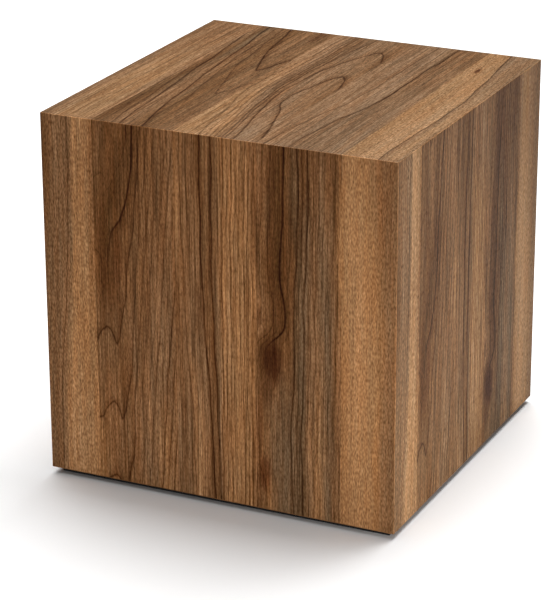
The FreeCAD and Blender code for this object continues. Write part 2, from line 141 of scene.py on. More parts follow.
# %% The leaves on the upright faces
SIDE_LEAVES = (
    Leaf(
        tones={
            -60: "0 smoke, 42 bark, 56 walnut, 70 ash, 74 smoke, 80 honey, 105 amber",
            50: "0 bark, 42 umber, 56 ash, 70 smoke, 74 smoke, 80 tan, 105 chestnut",
            250: "0 smoke, 60 smoke, 70 walnut, 74 smoke, 80 tan, 105 amber",
            400: "0 smoke, 42 bark, 60 smoke, 70 walnut, 74 walnut, 78 honey, 105 tan",
        },
        rise=((0, 0), (40, 5), (72, 10), (80, 10.6), (105, 12)),
        bold={10: ((0, 0.6),)},
        ink=0.35,
        sway=((-120, 1), (120, 1), (200, -3), (300, -12), (450, -15)),
        sway_ends=(78, 106),
        mottle=0.8,
    ),
    Leaf(
        tones={
            -50: "0 umber, 20 bark, 36 chestnut, 46 umber, 57 bark, 80 chestnut, 105 walnut",
            10: (
                "0 umber, 8 bark, 16 heart, 34 umber, 46 heart, 57 heart, 63 umber, 80 bark, "
                "97 chestnut, 105 walnut"
            ),
            90: (
                "0 bark, 12 umber, 24 heart, 36 night, 44 umber, 52 umber, 60 bark, 85 bark, "
                "97 chestnut, 105 chestnut"
            ),
            150: (
                "0 umber, 16 umber, 24 heart, 32 night, 42 umber, 50 bark, 62 bark, 76 chestnut, "
                "105 chestnut"
            ),
            200: "0 umber, 20 heart, 32 heart, 43 bark, 62 bark, 70 chestnut, 85 ash, 105 chestnut",
            260: "0 bark, 38 bark, 46 ash, 60 bark, 72 smoke, 88 ash, 105 smoke",
            320: "0 chestnut, 15 chestnut, 30 umber, 45 bark, 60 chestnut, 75 ash, 90 walnut, 105 chestnut",
            380: "0 amber, 14 chestnut, 30 bark, 45 chestnut, 60 walnut, 75 ash, 90 tan, 105 walnut",
        },
        rise=(
            (0, 0.0), (3, 0.09), (8, 0.18), (15.5, 0.24), (20, 0.19), (23, 0.1), (25.7, 0.0), (30.5, 0.12),
            (34.3, 0.28), (41.5, 0.56), (44, 0.65), (46.6, 0.96), (50.2, 1.45), (52.5, 1.75), (56, 2.15),
            (59.6, 2.56), (63.5, 2.92), (67.5, 3.34), (71.4, 3.75), (80, 4.8), (90, 6.1), (105, 8),
        ),
        along=((-150, -4.47), (275, 0.0), (550, 2.9)),
        bold={
            -2: ((0, 0.6), (60, 0.3)),
            -1: ((0, -1.0), (115, -1.0), (150, -0.6), (185, -0.15)),
            0: ((0, 0.55), (90, 0.6), (180, 0.75), (230, 0.8)),
            1: ((0, 0.5), (200, 0.5), (300, 0.7), (350, 0.75)),
            2: ((0, 0.5), (250, 0.5), (380, 0.8)),
        },
        ink=0.75,
        sway=(
            (45, 0), (60, -4), (75, -6), (95, -13), (105, -16), (116, -18), (150, -17), (184, -12), (230, -2),
            (270, 0), (320, 3), (365, 6), (450, 6),
        ),
        sway_ends=(38, 52),
        eyes=((29, 165, 7, 36, 0.3),),
    ),
    Leaf(
        tones={
            -60: "0 chestnut, 15 bark, 33 umber, 42 umber, 52 bark, 60 chestnut, 85 walnut, 105 chestnut",
            20: "0 amber, 15 bark, 25 bark, 33 umber, 42 bark, 52 bark, 60 amber, 85 amber, 105 chestnut",
            250: "0 chestnut, 15 smoke, 28 walnut, 36 bark, 44 umber, 54 ash, 60 tan, 90 amber, 105 amber",
            400: (
                "0 smoke, 13 honey, 21 walnut, 29 bark, 42 bark, 50 heart, 58 ash, 66 tan, 95 amber, "
                "105 chestnut"
            ),
        },
        rise=((0, 0), (32.5, 4), (47, 5), (56, 6), (105, 15)),
        along=((-150, -0.6), (0, -0.3), (80, 0.0), (550, 0.2)),
        bold={4: ((0, 0.9),), 5: ((0, 0.9),)},
        ink=0.7,
        sway=((0, -2.5), (80, 0), (130, 1), (184, 4), (224, 6), (263, 7), (303, 11), (350, 15), (450, 18)),
        sway_ends=(35, 60),
        mottle=0.1,
    ),
    Leaf(
        tones={
            -60: (
                "0 bark, 15 umber, 30 heart, 45 heart, 57 umber, 70 umber, 85 heart, 99 umber, "
                "102 chestnut, 105 walnut"
            ),
            50: (
                "0 chestnut, 12 bark, 22 heart, 29 night, 38 umber, 46 olive, 57 heart, 66 bark, "
                "78 smoke, 90 bark, 99 umber, 102 amber, 105 amber"
            ),
            150: (
                "0 bark, 12 umber, 22 heart, 30 night, 38 heart, 46 umber, 54 olive, 62 slate, "
                "72 smoke, 88 slate, 99 bark, 102 amber, 105 amber"
            ),
            250: (
                "0 chestnut, 10 umber, 20 heart, 28 heart, 38 umber, 50 olive, 57 slate, 65 ash, "
                "78 smoke, 88 slate, 99 umber, 102 walnut, 105 walnut"
            ),
            370: (
                "0 chestnut, 10 bark, 20 bark, 30 amber, 38 slate, 48 slate, 57 olive, 66 ash, 76 tan, "
                "90 slate, 99 bark, 102 walnut, 105 walnut"
            ),
        },
        rise=((0, 0), (14, 1), (28.5, 3), (38, 4), (47, 5), (52.5, 6), (58.7, 7), (70, 8.6), (105, 14)),
        along=(
            (-150, -0.9), (0, -0.7), (90, -0.65), (150, -0.4), (195, 0.0), (260, 0.0), (300, 0.25),
            (350, 0.4), (420, 0.2), (550, 0.1),
        ),
        bold={
            3: ((0, 1.0), (228, 1.0), (245, 0.3), (340, 0.2), (400, 0.55)),
            4: ((0, 0.3),),
            5: ((0, 0.8),),
            6: ((0, 0.55),),
            7: ((0, 0.85),),
        },
        ink=0.6,
        sway=(
            (-115, 10), (-55, 3), (0, -1), (44, -2), (79, -3), (112, -5), (153, -4), (173, 1), (192, 7),
            (214, 8), (228, 2), (240, -16), (282, -23), (303, -25.5), (338, -25), (368, -23), (391, -25),
            (412, -17), (450, -14),
        ),
        sway_ends=(30, 45),
        eyes=((19, 262, 13.5, 27, 0.7), (11, 300, 8, 16, 0.35), (3, 345, 4, 40, 0.35), (9, 402, 8, 24, 0.6)),
    ),
    Leaf(
        tones={
            -60: "0 walnut, 10 amber, 22 amber, 35 walnut, 48 chestnut, 58 bark, 105 bark",
            50: "0 amber, 10 tan, 22 tan, 35 amber, 48 chestnut, 58 smoke, 105 bark",
            200: "0 amber, 10 tan, 22 honey, 35 tan, 48 amber, 58 walnut, 105 bark",
            350: "0 amber, 10 tan, 35 tan, 45 amber, 54 walnut, 60 smoke, 105 bark",
        },
        rise=((0, 0), (45, 2), (60, 5), (105, 13)),
        ink=0.25,
        mottle=1.0,
    ),
)
print("leaves on the sides:", len(SIDE_LEAVES))

# %% [markdown]
# The top shows another stretch, with V shapes in its second leaf and arches in the third. The arches come
# from a count that is highest in the leaf's middle and rises along the grain. Further down it falls again
# and the figure sways aside, so the innermost ring runs out at the join.

# %% The leaves on the top face
TOP_LEAVES = (
    Leaf(
        tones={
            50: "0 smoke, 38 bark, 50 chestnut, 100 chestnut, 105 walnut",
            300: "0 smoke, 38 bark, 47 walnut, 60 amber, 95 amber, 105 walnut",
        },
        rise=((0, 0), (105, 11)),
        ink=0.4,
        sway=((0, 0), (150, -3), (210, 3), (300, -4), (450, 3)),
    ),
    Leaf(
        tones={
            50: "0 walnut, 10 umber, 18 olive, 28 bark, 48 umber, 58 umber, 68 bark, 90 bark, 105 umber",
            300: (
                "0 umber, 14 umber, 22 bark, 30 chestnut, 48 bark, 58 umber, 68 umber, 90 bark, "
                "105 chestnut"
            ),
        },
        rise=(
            (0, 6.4), (10, 5.3), (20, 4.2), (30, 3.2), (40, 2.2), (55, 1.1), (63.5, 0.7), (75, 0.3),
            (85, 0.0), (92.5, 0.16), (97.5, 0.34), (105, 0.55),
        ),
        along=((-60, -2.33), (192, 0.0), (480, 2.67)),
        bold={
            0: ((0, 0.9),),
            1: ((0, 0.55),),
            2: ((0, 0.5), (330, 0.5), (380, 0.15)),
            3: ((0, 0.9),),
            4: ((0, 0.4),),
            5: ((0, 0.9),),
            6: ((0, 0.6),),
        },
        ink=0.4,
        eyes=((91, 20, 8, 30, 0.4),),
    ),
    Leaf(
        tones={
            50: "0 walnut, 20 walnut, 28 smoke, 38 bark, 50 smoke, 70 smoke, 105 bark",
            300: "0 amber, 20 amber, 28 walnut, 38 bark, 50 chestnut, 60 ash, 76 chestnut, 105 bark",
            400: "0 amber, 14 tan, 28 amber, 38 walnut, 60 ash, 75 walnut, 90 ash, 105 chestnut",
        },
        rise=(
            (0, -9), (15, -7.4), (25, -5.8), (30, -4.9), (34, -4), (38, -3), (41.5, -2.1), (45, -1.6),
            (50, -1.15), (55, -0.83), (62.5, -0.55), (72.5, -0.26), (80, -0.07), (87.5, 0), (95, -0.09),
            (105, -0.36),
        ),
        along=(
            (-60, -1.0), (55, 0.0), (170, 1.0), (270, 1.6), (300, 1.65), (330, 1.3), (395, 1.08), (470, 1.0),
        ),
        bold={-2: ((0, 0.7),), -1: ((0, 0.7),), 0: ((0, 0.8),), 1: ((0, 0.85),)},
        ink=0.6,
        sway=((0, 0), (250, 0), (330, 8), (450, 24)),
        sway_ends=(104, 106),
    ),
    Leaf(
        tones={
            50: "0 bark, 14 smoke, 28 smoke, 40 ash, 48 ash, 58 smoke, 68 bark, 105 bark",
            300: "0 walnut, 40 walnut, 50 ash, 58 ash, 68 smoke, 80 smoke, 105 ash",
        },
        rise=((0, 0), (10, 2), (42, 4), (50, 5), (67.5, 7), (105, 11)),
        bold={4: ((0, 0.7),), 7: ((0, 0.85),)},
        ink=0.45,
        sway=((0, 0), (100, -2), (200, 0), (275, -5), (325, -15), (400, -22), (450, -24)),
        sway_ends=(75, 106),
    ),
    Leaf(
        tones={
            50: "0 amber, 29 amber, 33 smoke, 40 ash, 105 smoke",
            300: "0 amber, 15 tan, 29 tan, 33 ash, 42 tan, 60 ash, 105 ash",
        },
        rise=((0, 0), (30, 2), (33, 3), (105, 14)),
        bold={3: ((0, 0.85),)},
        ink=0.4,
        sway=((0, -3), (50, 2), (125, 9), (200, 17), (300, 15), (400, 12), (450, 11)),
        sway_ends=(60, 106),
        eyes=((15, 80, 3.2, 11, 0.8),),
        mottle=0.8,
    ),
)
print("leaves on the top:", len(TOP_LEAVES))

# %% [markdown]
# The leaf's facts are given at a few points only. Between them the value runs straight, and a short moving
# average rounds the corners. Both work on whole arrays, so a face with tens of thousands of points takes a
# moment.

# %% Read a leaf's facts anywhere
CORNER_ACROSS = 0.9
CORNER_ALONG = 7.0
CORNER_SAMPLES = 5


def rounded_run(place, points, corner):
    """Straight runs between the points, averaged over a span of twice the corner so that bends are round."""
    known_place, known_value = np.array(points, dtype=float).T
    spread = np.linspace(-corner, corner, CORNER_SAMPLES)
    return sum(np.interp(place + step, known_place, known_value) for step in spread) / len(spread)


BEND = ((-9, 0), (0, 0), (9, 9))
print("a rounded bend:", rounded_run(np.array([-2.0, 0.0, 2.0]), BEND, CORNER_ACROSS).round(2))


# %% [markdown]
# The figure's sway is undone before the rings are counted, so that a leaf's facts can stay those of a
# straight leaf. Every grain also wavers a little, and two shallow sine waves do that.

# %% Count the rings
WAVERS = ((0.7, 31.0, 23.0), (0.5, 13.7, -11.0))  # (size, how slowly it turns along and across)
HALVINGS = 20


def settled(leaf, across, along):
    """Where a point would lie across the leaf without its sway and its waver.

    A point that would lie at c is moved to c + sway * share(c), where the share falls smoothly from 1 to 0
    between the two ends. The way back has no formula, so it is found by halving a bracket again and again.
    """
    aim = across + sum(size * np.sin(along / slow + across / wide) for size, slow, wide in WAVERS)
    sway = rounded_run(along, leaf.sway, CORNER_ALONG)
    low = aim - np.abs(sway)
    high = aim + np.abs(sway)
    for _ in range(HALVINGS):
        guess = (low + high) / 2
        fall = np.clip((guess - leaf.sway_ends[0]) / (leaf.sway_ends[1] - leaf.sway_ends[0]), 0, 1)
        too_far = guess + sway * (1 - fall * fall * (3 - 2 * fall)) > aim
        high = np.where(too_far, guess, high)
        low = np.where(too_far, low, guess)
    return (low + high) / 2


def ring_count(leaf, across, along):
    """Rings across plus rings along: level lines of this sum are the lines of the figure."""
    place = settled(leaf, across, along)
    return rounded_run(place, leaf.rise, CORNER_ACROSS) + rounded_run(along, leaf.along, CORNER_ALONG)


middle_across, middle_along = np.array([LEAF_WIDTH / 2]), np.array([225.0])
print("rings counted at the middle of each side leaf:")
print([round(float(ring_count(leaf, middle_across, middle_along)[0]), 2) for leaf in SIDE_LEAVES])


# %% [markdown]
# The shader also needs to know how wide one ring is at each spot, because a line should stay about a
# millimetre thick whether the rings are crowded or far apart. The width is one divided by the steepness of
# the count. A few lines are bold in the real print; the rest get a strength that looks random.

# %% Ring width and line strength
PROBE = 0.5
WIDEST_RING = 60.0
LEAST_INK = 0.35  # the share of its ink that even the faintest line of a leaf keeps


def ring_width(leaf, across, along):
    """Millimetres per ring: one over the length of the count's gradient, from two short steps each way."""
    step_across = ring_count(leaf, across + PROBE, along) - ring_count(leaf, across - PROBE, along)
    step_along = ring_count(leaf, across, along + PROBE) - ring_count(leaf, across, along - PROBE)
    return np.minimum(2 * PROBE / np.maximum(np.hypot(step_across, step_along), 1e-6), WIDEST_RING)


def shuffled(number):
    """A number between 0 and 1 that looks random but is the same each time for the same whole number."""
    return np.modf(np.abs(np.sin(number * 12.9898 + 4.1) * 43758.5453))[0]


def line_strength(leaf, count, along):
    """How dark the nearest ring line is: bold where the leaf says so, or else a shuffled share of its ink."""
    nearest = np.rint(count)
    strength = leaf.ink * (LEAST_INK + (1 - LEAST_INK) * shuffled(nearest))
    for number, run in leaf.bold.items():
        place, darkness = np.array(run, dtype=float).T
        strength = np.where(nearest == number, np.interp(along, place, darkness), strength)
    return strength


print("ring width there in mm:")
print([round(float(ring_width(leaf, middle_across, middle_along)[0]), 1) for leaf in SIDE_LEAVES])


# %% [markdown]
# The tint is the wood's colour between its lines. Rows of tones are read across the leaf and blended along
# it. An eye, the stain of a small knot, is even in its middle and fades fast at its rim. It darkens red
# least and blue most, so it stays brown.

# %% Tint
EYE_POWERS = np.array([0.8, 1.1, 1.3])  # for red, green and blue


def colour_stops(row):
    """Splits a row such as "0 smoke, 42 bark" into its places and their colours."""
    stops = [stop.split() for stop in row.split(",")]
    return np.array([float(place) for place, _ in stops]), np.array([TONES[name] for _, name in stops])


def leaf_tint(leaf, across, along):
    """The colour without its lines: rows of tones read across and blended along, darkened by the eyes."""
    place = settled(leaf, across, along)
    rows = np.array(sorted(leaf.tones), dtype=float)
    row_number = np.interp(along, rows, np.arange(len(rows)))
    tint = np.zeros((len(across), 3))
    for number, row in enumerate(sorted(leaf.tones)):
        stops, colours = colour_stops(leaf.tones[row])
        read = np.stack([np.interp(place, stops, channel) for channel in colours.T], axis=-1)
        tint += read * np.clip(1 - np.abs(row_number - number), 0, 1)[:, None]
    shade = np.ones(len(across))[:, None]
    for centre, middle, half_width, half_length, darkness in leaf.eyes:
        reach = ((across - centre) / half_width) ** 2 + ((along - middle) / half_length) ** 2
        shade = shade * (1 - darkness * np.exp(-(reach**2)))[:, None] ** EYE_POWERS
    return tint * shade


print("tint there of the first side leaf:", leaf_tint(SIDE_LEAVES[0], middle_across, middle_along).round(3))


# %% [markdown]
# Now the whole print can be read at any spot: the spot's leaf is found first, and that leaf's facts give
# the colour, the ring count, the ring width and the line strength there.

# %% Read the print
def read_print(leaves, across, along):
    """Colour, ring count, ring width, line strength and mottle at flat arrays of spots, leaf by leaf."""
    number = np.floor((across - FIRST_JOIN) / LEAF_WIDTH).astype(int)
    tint = np.ones((len(across), 4))
    count, width, ink, mottle = (np.zeros(len(across)) for _ in range(4))
    for leaf_number in np.unique(number):
        here = number == leaf_number
        leaf = leaves[leaf_number % len(leaves)]
        x = across[here] - FIRST_JOIN - leaf_number * LEAF_WIDTH
        t = along[here]
        tint[here, :3] = leaf_tint(leaf, x, t)
        count[here] = ring_count(leaf, x, t)
        width[here] = ring_width(leaf, x, t)
        ink[here] = line_strength(leaf, count[here], t)
        mottle[here] = leaf.mottle
    return {"tint": tint, "ring": count, "ring_width": width, "ink": ink, "mottle": mottle}


print("what the print holds at every spot:", list(read_print(SIDE_LEAVES, middle_across, middle_along)))


# %% [markdown]
# ## The decorative sheets
# Each sheet is half a millimetre thick and follows its panel: flat, with its outer edges eased to a small
# radius where two panels meet in a mitre. One formula gives both. A point is carried on a flat rectangle
# set in from the faces by the radius, and then pushed out by the radius in a direction that leans further
# towards the edge as the point nears it. At 45 degrees the sheet ends, because there its neighbour begins.

# %% Steps across a sheet
JOIN_GAP = 0.02 * MM  # half the distance between the two steps at a join


def steps(low, high, spacing, joins):
    """Even steps from low to high, with a close pair round each join so that the print can jump there."""
    even = np.linspace(low, high, int(np.ceil((high - low) / spacing)) + 1)
    inside = np.array([join for join in joins if low + spacing < join < high - spacing])
    if len(inside) == 0:
        return even
    clear = np.all(np.abs(even[:, None] - inside) > spacing / 3, axis=1)
    return np.sort(np.concatenate([even[clear], inside - JOIN_GAP, inside + JOIN_GAP]))


print("steps from 0 to 10 with a join at 5:", steps(0.0, 10.0, 2.0, (5.0,)).round(2))


# %% [markdown]
# Where an edge is mitred the flat stretch stops short by the radius, and three more steps lean outwards to
# 45 degrees. The sheet's back takes as many steps, so that front and back can share one grid.

# %% Steps round an eased edge
EASING = 0.8 * MM  # the radius of the CAD model's eased edges
EASED_ANGLES = np.radians([15.0, 30.0, 45.0])


def eased_steps(low, high, spacing, joins, mitred, radius, thickness):
    """Three matching arrays: places on the inset rectangle, the lean there, and places on the back."""
    start = low + radius * mitred[0]
    end = high - radius * mitred[1]
    place = steps(start, end, spacing, joins)
    lean = np.zeros(len(place))
    back = place.copy()
    angles = EASED_ANGLES if radius > 0 else np.zeros(0)
    growth = (radius - thickness) * angles / EASED_ANGLES[-1]
    if mitred[0]:
        place = np.concatenate([np.full(len(angles), start), place])
        lean = np.concatenate([-angles[::-1], lean])
        back = np.concatenate([start - growth[::-1], back])
        back[0] = low + thickness
    if mitred[1]:
        place = np.concatenate([place, np.full(len(angles), end)])
        lean = np.concatenate([lean, angles])
        back = np.concatenate([back, end + growth])
        back[-1] = high - thickness
    return place, lean, back


print("easing radius in mm:", EASING / MM, "in", len(EASED_ANGLES), "steps")


# %% [markdown]
# A mesh face is a list of corner numbers. The front and the back of a sheet are the same grid of points,
# and four strips of faces close the gap round the rim, so the sheet is a closed solid.

# %% Faces of a sheet
def grid_faces(first, rows, columns):
    """Corner numbers of the squares of a grid whose points are numbered row by row from first."""
    corner = first + np.arange(rows - 1)[:, None] * columns + np.arange(columns - 1)
    return np.stack([corner, corner + 1, corner + columns + 1, corner + columns], axis=-1).reshape(-1, 4)


def rim_faces(rows, columns):
    """Faces between the rim of the front grid and the rim of the back grid, all the way round."""
    number = np.arange(rows * columns).reshape(rows, columns)
    ring = np.concatenate([number[0, :-1], number[:-1, -1], number[-1, :0:-1], number[:0:-1, 0]])
    following = np.roll(ring, -1)
    behind = rows * columns
    return np.stack([ring, ring + behind, following + behind, following], axis=-1)


print("a grid of 3 by 4 points:", len(grid_faces(0, 3, 4)), "squares,", len(rim_faces(3, 4)), "rim faces")


# %% [markdown]
# Setting tens of thousands of corners one at a time would be slow, so a mesh is filled from whole arrays:
# the points, then the corner numbers, then where each face begins. Values for the shader are stored on the
# points in the same way.

# %% Fill a mesh from arrays
SHARP_ANGLE = np.radians(35)  # edges steeper than this stay sharp


def mesh_from(name, points, faces):
    """A new object whose mesh holds the points and the four-sided faces."""
    mesh = bpy.data.meshes.new(name)
    mesh.vertices.add(len(points))
    mesh.vertices.foreach_set("co", points.ravel())
    mesh.loops.add(faces.size)
    mesh.loops.foreach_set("vertex_index", faces.ravel())
    mesh.polygons.add(len(faces))
    mesh.polygons.foreach_set("loop_start", np.arange(0, faces.size, 4))
    mesh.update(calc_edges=True)
    mesh.polygons.foreach_set("use_smooth", np.ones(len(faces), dtype=bool))
    mesh.set_sharp_from_angle(angle=SHARP_ANGLE)
    piece = bpy.data.objects.new(name, mesh)
    bpy.context.scene.collection.objects.link(piece)
    return piece


def add_values(piece, name, values):
    """Stores one number per point, or one colour per point, where a shader can read it."""
    kind, field_name = ("FLOAT_COLOR", "color") if values.ndim == 2 else ("FLOAT", "value")
    attribute = piece.data.attributes.new(name, kind, "POINT")
    attribute.data.foreach_set(field_name, values.astype(np.float32).ravel())


print("edges stay sharp above", round(np.degrees(SHARP_ANGLE)), "degrees")


# %% [markdown]
# A sheet needs to know which way it faces, which way the grain runs and which of its edges are mitred. The
# directions also say where the print's own places lie: across is counted from the left edge and along from
# the top edge or, on the top face, from the rear edge.

# %% What describes a sheet
ACROSS_SPACING = 1.6 * MM
ALONG_SPACING = 4.0 * MM


@dataclass
class Sheet:
    """Where a printed sheet lies and which stretch of the print it shows."""

    node: str
    across: tuple  # the direction of print across the grain
    grain: tuple  # the direction along the grain
    outward: tuple
    leaves: tuple
    shift: tuple = (0.0, 0.0)  # millimetres of print skipped across and along the grain
    mitres: tuple = (True, True, True, False)  # low and high edge across, then along
    outer: bool = True  # an outer sheet is eased, and its back is the smaller side
    painted_sheen: tuple = (1.0, 1.0, 1.0)  # painted sheen: multipliers for red, green and blue that make a face paler and bluer, standing in for the sheen the light lays on it


def span(direction, low, high):
    """Lowest and highest place of a box along a direction."""
    ends = sorted((Vector(direction).dot(low), Vector(direction).dot(high)))
    return ends[0], ends[1]


def sheet_limits(sheet, direction, mitred):
    """The sheet's two edges along a direction: the cube's own face where an outer edge is mitred."""
    edges = span(direction, *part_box(sheet.node))
    if not sheet.outer:
        return edges[0] + LAMINATE * mitred[0], edges[1] - LAMINATE * mitred[1]
    walls = span(direction, cad_low, cad_high)
    return tuple(wall if cut else edge for wall, edge, cut in zip(walls, edges, mitred))


front_low, front_high = (Vector(corner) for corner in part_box("front_laminate"))
LAMINATE = min(front_high - front_low)
print("sheet thickness in mm:", round(LAMINATE / MM, 3))

# %% [markdown]
# The lining inside the compartment is the same kind of sheet turned inwards. It isn't eased, and its mitred
# edges run the other way, so that its back is the larger side.

# %% Make a printed sheet
JOINS = np.arange(-12, 13)  # enough leaves to both sides for every sheet


def printed_sheet(sheet):
    """Builds the closed sheet and stores the print's values on its points."""
    radius = EASING if sheet.outer else 0.0
    setback = LAMINATE if sheet.outer else -LAMINATE
    low_across, high_across = sheet_limits(sheet, sheet.across, sheet.mitres[:2])
    low_along, high_along = sheet_limits(sheet, sheet.grain, sheet.mitres[2:])
    face = span(sheet.outward, *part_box(sheet.node))[1]
    joins = low_across + (FIRST_JOIN + LEAF_WIDTH * JOINS - sheet.shift[0]) * MM
    place_u, lean_u, back_u = eased_steps(
        low_across, high_across, ACROSS_SPACING, joins, sheet.mitres[:2], radius, setback
    )
    place_v, lean_v, back_v = eased_steps(
        low_along, high_along, ALONG_SPACING, (), sheet.mitres[2:], radius, setback
    )
    u, v = (grid.ravel() for grid in np.meshgrid(place_u, place_v, indexing="ij"))
    tilt_u, tilt_v = (grid.ravel() for grid in np.meshgrid(np.tan(lean_u), np.tan(lean_v), indexing="ij"))
    push = radius / np.sqrt(tilt_u**2 + tilt_v**2 + 1)
    front = (u + push * tilt_u, v + push * tilt_v, face - radius + push)
    deep_u, deep_v = (grid.ravel() for grid in np.meshgrid(back_u, back_v, indexing="ij"))
    behind = (deep_u, deep_v, np.full(len(u), face - LAMINATE))
    axes = np.array([sheet.across, sheet.grain, sheet.outward], dtype=float)
    points = np.concatenate([np.stack(front, axis=-1) @ axes, np.stack(behind, axis=-1) @ axes])
    rows, columns = len(place_u), len(place_v)
    back_faces = grid_faces(rows * columns, rows, columns)[:, ::-1]
    faces = np.concatenate([grid_faces(0, rows, columns), back_faces, rim_faces(rows, columns)])
    piece = mesh_from(f"{sheet.node}_print", points, faces)
    across = (front[0] - low_across) / MM + sheet.shift[0]
    along = (front[1] - low_along) / MM + sheet.shift[1]
    values = read_print(sheet.leaves, across, along)
    # painted sheen: the tint is multiplied paler and bluer on the faces that catch the light's sheen
    values["tint"][:, :3] *= sheet.painted_sheen
    values["easing"] = np.maximum(np.abs(tilt_u), np.abs(tilt_v))
    for name, numbers in values.items():
        add_values(piece, name, np.concatenate([numbers, numbers]))
    spot = np.tile(np.stack([across, along], axis=-1) * MM, (2, 1))
    layer = piece.data.uv_layers.new(name="print")
    layer.data.foreach_set("uv", spot[faces.ravel()].astype(np.float32).ravel())
    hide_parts(sheet.node)
    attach(piece, "root")
    return piece


# %% [markdown]
# The nine sheets. The right face shows the same stretch of the print as the front, only lower down, which
# is how a printed sheet gives itself away. The left face and the linings start elsewhere in the print. On the
# right face and the top the tones are multiplied up, most in blue, as painted sheen: it stands in for the
# pale sheen that the light lays on these two faces.

# %% The nine sheets
LEFT, RIGHT, FRONT, REAR, UP, DOWN = (-1, 0, 0), (1, 0, 0), (0, -1, 0), (0, 1, 0), (0, 0, 1), (0, 0, -1)
ALL_BUT_LOW_END = (True, True, False, True)
LOW_EDGES = (True, False, True, False)

SHEETS = (
    Sheet("front_laminate", RIGHT, DOWN, FRONT, SIDE_LEAVES),
    # painted sheen on the right face and the top: their tints are multiplied paler and bluer
    Sheet("right_laminate", REAR, DOWN, RIGHT, SIDE_LEAVES, (0, -115), LOW_EDGES, painted_sheen=(1.03, 1.15, 1.28)),
    Sheet("left_laminate", FRONT, DOWN, LEFT, SIDE_LEAVES, (210, 40), (False, True, True, False)),
    Sheet("top_laminate", RIGHT, FRONT, UP, TOP_LEAVES, (0, 0), ALL_BUT_LOW_END, painted_sheen=(0.98, 1.13, 1.37)),
    Sheet("front_lining", LEFT, DOWN, REAR, SIDE_LEAVES, (330, 30), outer=False),
    Sheet("left_lining", REAR, DOWN, RIGHT, TOP_LEAVES, (120, 20), LOW_EDGES, False),
    Sheet("right_lining", FRONT, DOWN, LEFT, TOP_LEAVES, (330, -20), (False, True, True, False), False),
    Sheet("top_lining", LEFT, FRONT, DOWN, SIDE_LEAVES, (60, 10), ALL_BUT_LOW_END, False),
    Sheet("bottom_lining", RIGHT, FRONT, UP, SIDE_LEAVES, (140, -60), (False, False, False, False), False),
)
sheets = {sheet.node: printed_sheet(sheet) for sheet in SHEETS}
print("faces in all sheets:", sum(len(piece.data.polygons) for piece in sheets.values()))

# %% [markdown]
# ## Shaders
# Shader nodes are wired by a few short helpers. Each gives back the socket that carries its result, so a
# finish reads like a sum. A value that is a plain number is typed into the socket; anything else is linked.

# %% Helpers that wire shader nodes
class Wiring:
    """Adds nodes to one node tree; stretches are patterns per metre along each axis."""

    def __init__(self, tree):
        self.tree = tree

    def node(self, kind, **settings):
        made = self.tree.nodes.new(f"ShaderNode{kind}")
        for setting, value in settings.items():
            setattr(made, setting, value)
        return made

    def feed(self, socket, value):
        if isinstance(value, bpy.types.NodeSocket):
            self.tree.links.new(value, socket)
        else:
            socket.default_value = value

    def math(self, operation, *values):
        made = self.node("Math", operation=operation)
        for socket, value in zip(made.inputs, values):
            self.feed(socket, value)
        return made.outputs[0]

    def stretch(self, vector, factors):
        made = self.node("VectorMath", operation="MULTIPLY")
        self.feed(made.inputs[0], vector)
        made.inputs[1].default_value = factors
        return made.outputs[0]

    def noise(self, vector, detail=2.0, roughness=0.5):
        made = self.node("TexNoise")
        self.feed(made.inputs["Vector"], vector)
        made.inputs["Scale"].default_value = 1.0
        made.inputs["Detail"].default_value = detail
        made.inputs["Roughness"].default_value = roughness
        return made.outputs["Fac"]

    def fit(self, value, low, high, new_low=0.0, new_high=1.0, smooth=True):
        kind = "SMOOTHSTEP" if smooth else "LINEAR"
        made = self.node("MapRange", interpolation_type=kind)
        for socket, given in zip(made.inputs, (value, low, high, new_low, new_high)):
            self.feed(socket, given)
        return made.outputs[0]

    def speckle(self, per_metre, detail=2.0, roughness=0.5):
        """Noise that is fixed to the piece's own places."""
        place = self.node("TexCoord").outputs["Object"]
        return self.noise(self.stretch(place, per_metre), detail, roughness)

    def mix(self, blend, share, first, second):
        made = self.node("Mix", data_type="RGBA", blend_type=blend)
        self.feed(made.inputs[0], share)
        self.feed(made.inputs[6], first)
        self.feed(made.inputs[7], second)
        return made.outputs[2]

    def shades(self, value, low, high, first, second):
        """The first colour, running into the second while the value goes from low to high."""
        return self.mix("MIX", self.fit(value, low, high), first, second)

    def bump(self, height, distance, strength=1.0):
        made = self.node("Bump")
        made.inputs["Strength"].default_value = strength
        made.inputs["Distance"].default_value = distance
        self.feed(made.inputs["Height"], height)
        return made.outputs["Normal"]


print("helpers:", [name for name in vars(Wiring) if not name.startswith("_")])


# %% [markdown]
# A node group is a small shader program with named inputs and outputs that several materials can share. A
# finish is a material with one Principled shader joined to its output; what makes it wood or steel is fed
# into that shader's inputs.

# %% Groups and finishes
def new_group(title, inputs, outputs):
    """An empty node group with named sockets, its wiring, and the nodes that hold its inputs and outputs."""
    group = bpy.data.node_groups.new(title, "ShaderNodeTree")
    for label, kind in inputs:
        group.interface.new_socket(label, in_out="INPUT", socket_type=f"NodeSocket{kind}")
    for label, kind in outputs:
        group.interface.new_socket(label, in_out="OUTPUT", socket_type=f"NodeSocket{kind}")
    return Wiring(group), group.nodes.new("NodeGroupInput").outputs, group.nodes.new("NodeGroupOutput").inputs


def use_group(wiring, title, **values):
    """Places a node group in a tree and fills its inputs; an underscore in a name stands for a space."""
    made = wiring.node("Group", node_tree=bpy.data.node_groups[title])
    for label, value in values.items():
        wiring.feed(made.inputs[label.replace("_", " ")], value)
    return made.outputs


